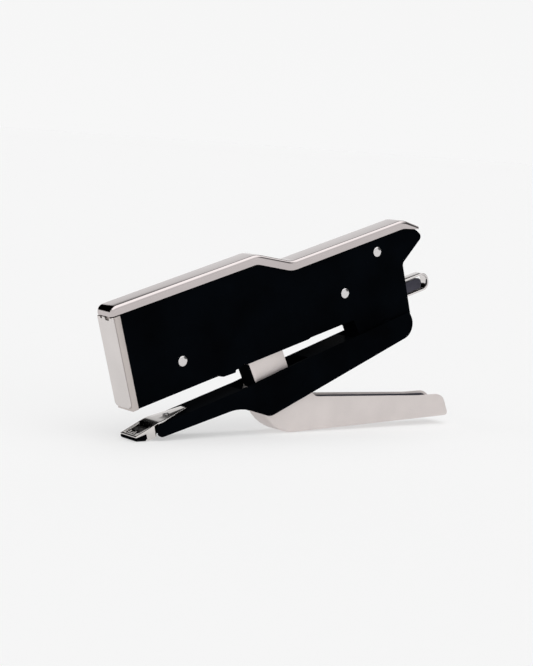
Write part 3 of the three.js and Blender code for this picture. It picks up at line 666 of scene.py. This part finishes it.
def copied(piece, name, place):
    """A copy with its own mesh, moved by a place in millimetres."""
    bpy.ops.object.select_all(action="DESELECT")
    piece.select_set(True)
    bpy.context.view_layer.objects.active = piece
    bpy.ops.object.duplicate(linked=False)
    twin = bpy.context.object
    twin.name = name
    twin.data.name = name
    bpy.ops.object.mode_set(mode="EDIT")
    bpy.ops.mesh.select_all(action="SELECT")
    bpy.ops.transform.translate(value=Vector(place) * MM)
    bpy.ops.object.mode_set(mode="OBJECT")
    return twin


first_rivet = dome_rivet("rivet_front", 1.1, 2.2, 5.0)
rivet_places = (("middle", (115.9, 0, 13.4)), ("hammer", (137.1, 0, 25.7)))
for which, place in rivet_places:
    install(copied(first_rivet, "rivet_" + which, place), "root", "rivet_nickel", which + "_rivet")
front_one = copied(first_rivet, "rivet_nose", (28.5, 0, 11.9))
bpy.data.objects.remove(first_rivet)
install(front_one, "root", "rivet_nickel", "front_rivet")

# %% [markdown]
# The lower jaw is a channel that opens downwards. Its web has a long slot for the stirrup and stops short
# of the ears at the rear, so after the underside is taken away the web is sliced and parts of it go too.

# %% Lower jaw
JAW_SIDE = [
    (9.8, -9.5, 1.0),
    (58, -9.1, 20),
    (84.4, -7.7, 20),
    (149.6, -5.5, 1.6),
    (150.0, -15.4, 6.5),
    (65, -24.9, 5),
    (51, -15.9, 18),
    (9.7, -14.4, 2.2),
]
SLOT_HALF = 4.7


def jaw_top(along):
    return -9.5 + max(0, along - 58) * 0.0437 + 0.4 * min(1, along / 58)


jaw = block("jaw_channel", JAW_SIDE, JAW_HALF)
for along in (54, 91, 116):
    slice_at((along, 0, 0), (1, 0, 0))
for across in (-JAW_INNER, -SLOT_HALF, SLOT_HALF, JAW_INNER):
    slice_at((0, across, 0), (0, 1, 0))
remove_faces(lambda face: abs(face.normal.y) < 0.5 and at(face).z < jaw_top(at(face).x) - 2.0)
remove_faces(lambda face: face.normal.z > 0.5 and 54 < at(face).x < 91 and abs(at(face).y) < SLOT_HALF)
remove_faces(lambda face: abs(face.normal.y) < 0.5 and at(face).x > 116 and abs(at(face).y) < JAW_INNER)
round_edges(
    lambda edge: edge.is_manifold and on_side(edge, JAW_HALF) and edge.calc_face_angle(0) > 1,
    0.8,
    5,
)
sheet(jaw, 0.85)
soften(jaw, 0.14, 3)
install(jaw, "jaw", "black_lacquer", "lower_jaw")

# %% [markdown]
# The handle is a deep channel that opens upwards, with its back rolled round the belly. The sheet's own
# rim is left showing along the top.

# %% Handle
HANDLE_SIDE = [
    (61.5, -11, 2.5),
    (61.5, -32.28, 20),
    (163.7, -59.8, 1.6),
    (162.2, -48.8, 7),
    (148, -44.8, 16),
    (87.5, -24, 6),
    (90, -13, 4),
]


def is_handle_back(face):
    place = at(face)
    if place.x > 162:
        return True
    back_level = -32.3 - (place.x - 61.5) * 0.2688
    return place.z < back_level + 3.2 or (place.x < 68 and place.z < -13 and face.normal.x < -0.2)


handle = block("handle_channel", HANDLE_SIDE, HANDLE_HALF)
remove_faces(lambda face: abs(face.normal.y) < 0.5 and not (is_handle_back(face) or face.normal.x < -0.6))
round_edges(lambda edge: edge.is_manifold and on_side(edge, HANDLE_HALF), 0.9, 6)
sheet(handle, 0.8)
soften(handle, 0.16, 3)
install(handle, "handle", "matte_nickel", "handle_lever")

# %% [markdown]
# Inside the rear half of the handle lies a thin dark sheet: painted shade, for the shade deep in the channel.
# It stops a little below the rim so that the bright edge of the sheet stays in view.

# %% Handle shade sheet
SHADE_SHEET_SIDE = [
    (92, -39.6),
    (162.4, -58.4, 1.3),
    (161.2, -49.7, 6.3),
    (147.9, -45.6, 15),
    (92, -26.5),
]
handle_shade_sheet = block("handle_painted_shade", SHADE_SHEET_SIDE, HANDLE_HALF - 0.85)
remove_faces(lambda face: abs(face.normal.y) < 0.5 and (face.normal.x < -0.9 or face.normal.z > 0.3))
sheet(handle_shade_sheet, 0.12)
soften(handle_shade_sheet, 0.03)
# Painted shade: the dark steel finish on this sheet stands for the shade inside the handle's channel.
install(handle_shade_sheet, "handle", "dark_steel")

# %% [markdown]
# The stirrup joins the hammer in the body to the handle. Two flat nickel sides come down past the
# magazine, and a web across their front edges ties them together below the body. The web is lacquered
# black: painted shade and dark reflection, for the dark its front shows between body and jaw.

# %% Stirrup
STIRRUP_SIDE = [
    (55.48, 26.4, 3),
    (63.2, 26.4, 3),
    (78.04, 3.0, 4),
    (81.91, -18.4, 4),
    (63.91, -18.4, 3),
]
STIRRUP_SHEET = 0.45


def stirrup_front(up):
    """Where the front edge lies at this height: it leans back on its way down."""
    return 63.91 - (up + 18.4) * (63.91 - 55.48) / 44.8


straps = block("stirrup_straps", STIRRUP_SIDE, LINK_HALF)
remove_faces(lambda face: abs(face.normal.y) < 0.5)
sheet(straps, STIRRUP_SHEET)
soften(straps, 0.08)
install(straps, "link", "matte_nickel", "stirrup_link")

WEB_SIDE = [
    (stirrup_front(-1) - STIRRUP_SHEET, -1),
    (stirrup_front(-1), -1),
    (stirrup_front(-12.4), -12.4),
    (stirrup_front(-12.4) - STIRRUP_SHEET, -12.4),
]
web = block("stirrup_web", WEB_SIDE, LINK_HALF)
soften(web, 0.12, 3)
# Painted shade and reflection: the black lacquer on the web stands for the dark its front shows between body and
# jaw.
install(web, "link", "black_lacquer")

# %% [markdown]
# The anvil plate is stamped from one strip. Its tip dips, a pocket is pressed into it, and two clinching
# grooves lie across the pocket to bend the staple's legs inwards. Behind, a tongue tapers along the jaw
# and a skirt folds down on each side. The strip is sliced, then its parts are pushed and tapered.

# %% Anvil plate
ANVIL_SIDE = [
    (-0.2, -10.3, 0.25),
    (6, -9.4, 6),
    (11.8, -8.4, 6),
    (28, -8.4, 0.3),
    (28, -9.15),
    (9.4, -9.15),
    (9.4, -13.8, 0.8),
    (4.9, -13.8, 0.6),
    (4.9, -10.95),
    (-0.2, -10.95, 0.25),
]
POCKET_HALF = 4.6
GROOVE_HALF = 1.25
GROOVE_MIDDLE = 1.7

anvil = block("anvil_tip", ANVIL_SIDE, HANDLE_HALF)
for along in (0.7, 2.0, 3.8, 8.8, 14):
    slice_at((along, 0, 0), (1, 0, 0))
grooves = (GROOVE_MIDDLE - GROOVE_HALF, GROOVE_MIDDLE + GROOVE_HALF)
for across in (-POCKET_HALF, -grooves[1], -grooves[0], grooves[0], grooves[1], POCKET_HALF):
    slice_at((0, across, 0), (0, 1, 0))


def is_top(face):
    return face.normal.z > 0.6 and at(face).z > -10.6


pick("FACE", lambda face: is_top(face) and 0.7 < at(face).x < 8.8 and abs(at(face).y) < POCKET_HALF)
bpy.ops.mesh.inset(thickness=0.35 * MM, depth=0)
bpy.ops.transform.translate(value=(0, 0, -0.4 * MM))
pick(
    "FACE",
    lambda face: is_top(face) and 2.0 < at(face).x < 3.8 and grooves[0] < abs(at(face).y) < grooves[1],
)
bpy.ops.mesh.inset(thickness=0.2 * MM, depth=0)
bpy.ops.transform.translate(value=(0, 0, -0.3 * MM))
for side in (-1, 1):
    cut_from = Vector((14, side * HANDLE_HALF, 0)) * MM
    cut_way = Vector((HANDLE_HALF - 2.0, side * 14, 0)).normalized()
    bpy.ops.mesh.select_all(action="SELECT")
    bpy.ops.mesh.bisect(plane_co=cut_from, plane_no=cut_way, use_fill=True, clear_outer=True)
bpy.ops.mesh.select_all(action="SELECT")
bpy.ops.mesh.normals_make_consistent(inside=False)
soften(anvil, 0.17, 3, 30)
install(anvil, "jaw", "anvil_chrome", "anvil_plate")

# %% [markdown]
# The black foot under the tip is a block with round corners, on a core that fills the jaw's tip. Its black
# is painted reflection: it stands for the dark that the rounded chrome underside of the tip mirrors.

# %% Anvil foot
FOOT_SIDE = [
    (-0.5, -11.05, 0.4),
    (4.7, -11.05),
    (4.7, -12.9),
    (4.1, -13.62, 0.3),
    (-0.3, -12.24, 0.35),
]
FOOT_END = Vector((4.7, 0, -11.05)) * MM
foot = block("anvil_tip_dark_reflection", FOOT_SIDE, HANDLE_HALF)
pick("FACE", lambda face: face.normal.x > 0.99 and at(face).x > 4.6)
bpy.ops.mesh.extrude_region_move(TRANSFORM_OT_translate={"value": (0, 0, 0)})
bpy.ops.transform.resize(value=(1, 4.65 / HANDLE_HALF, 0.8), center_override=FOOT_END)
bpy.ops.mesh.extrude_region_move(TRANSFORM_OT_translate={"value": (21.3 * MM, 0, 0)})
soften(foot, 0.3, 4)
# Painted reflection: the black lacquer on the foot stands for the dark mirrored by the tip's chrome underside.
install(foot, "jaw", "black_lacquer", "anvil_foot")

# %% [markdown]
# At the rear a nickel strap is bent to a loop round a dark bar, and a finger pulls both back to make
# room for a new strip of staples. The strap is a line of corners pulled across and thickened.

# %% Pull loop and bar
LOOP_LINE = [(132, 7.8), (166.4, 7.9, 3.9), (166.2, -0.1, 3.6), (132, -0.1)]
loop = draw_outline("pull_strap", LOOP_LINE, -2.4, closed=False)
pull_across(4.8)
bpy.ops.object.mode_set(mode="OBJECT")
apply_modifier(loop, "SOLIDIFY", thickness=0.8 * MM, offset=-1.0, use_even_offset=True)
soften(loop, 0.22, 4)
install(loop, "pusher", "loop_nickel", "pull_loop")

BAR_SIDE = [(138.15, 1.45), (161.8, 1.15, 1.2), (163.0, 6.05, 2.0), (138.15, 6.25)]
bar = block("pull_grip", BAR_SIDE, 1.7)
soften(bar, 0.35, 4)
install(bar, "pusher", "dark_steel", "pull_bar")

# %% [markdown]
# The staples are a strip of bent wires stuck side by side. One staple is made and an array repeats it.

# %% Staples
STAPLE_END = [
    (-3.0, 0.6),
    (-2.5, 0.6),
    (-2.5, 4.6, 0.15),
    (2.5, 4.6, 0.15),
    (2.5, 0.6),
    (3.0, 0.6),
    (3.0, 5.1, 0.4),
    (-3.0, 5.1, 0.4),
]
STAPLE_WIRE = 0.46
STAPLE_STEP = 0.5
STAPLE_COUNT = 50
staples = draw_outline("staple_comb", STAPLE_END, 3.6, "end")
pull_across(STAPLE_WIRE, "end")
soften(staples, 0.1, 2, 50)
apply_modifier(
    staples,
    "ARRAY",
    count=STAPLE_COUNT,
    use_relative_offset=False,
    use_constant_offset=True,
    constant_offset_displace=(STAPLE_STEP * MM, 0, 0),
)
install(staples, "root", "staple_wire", "staple_strip")
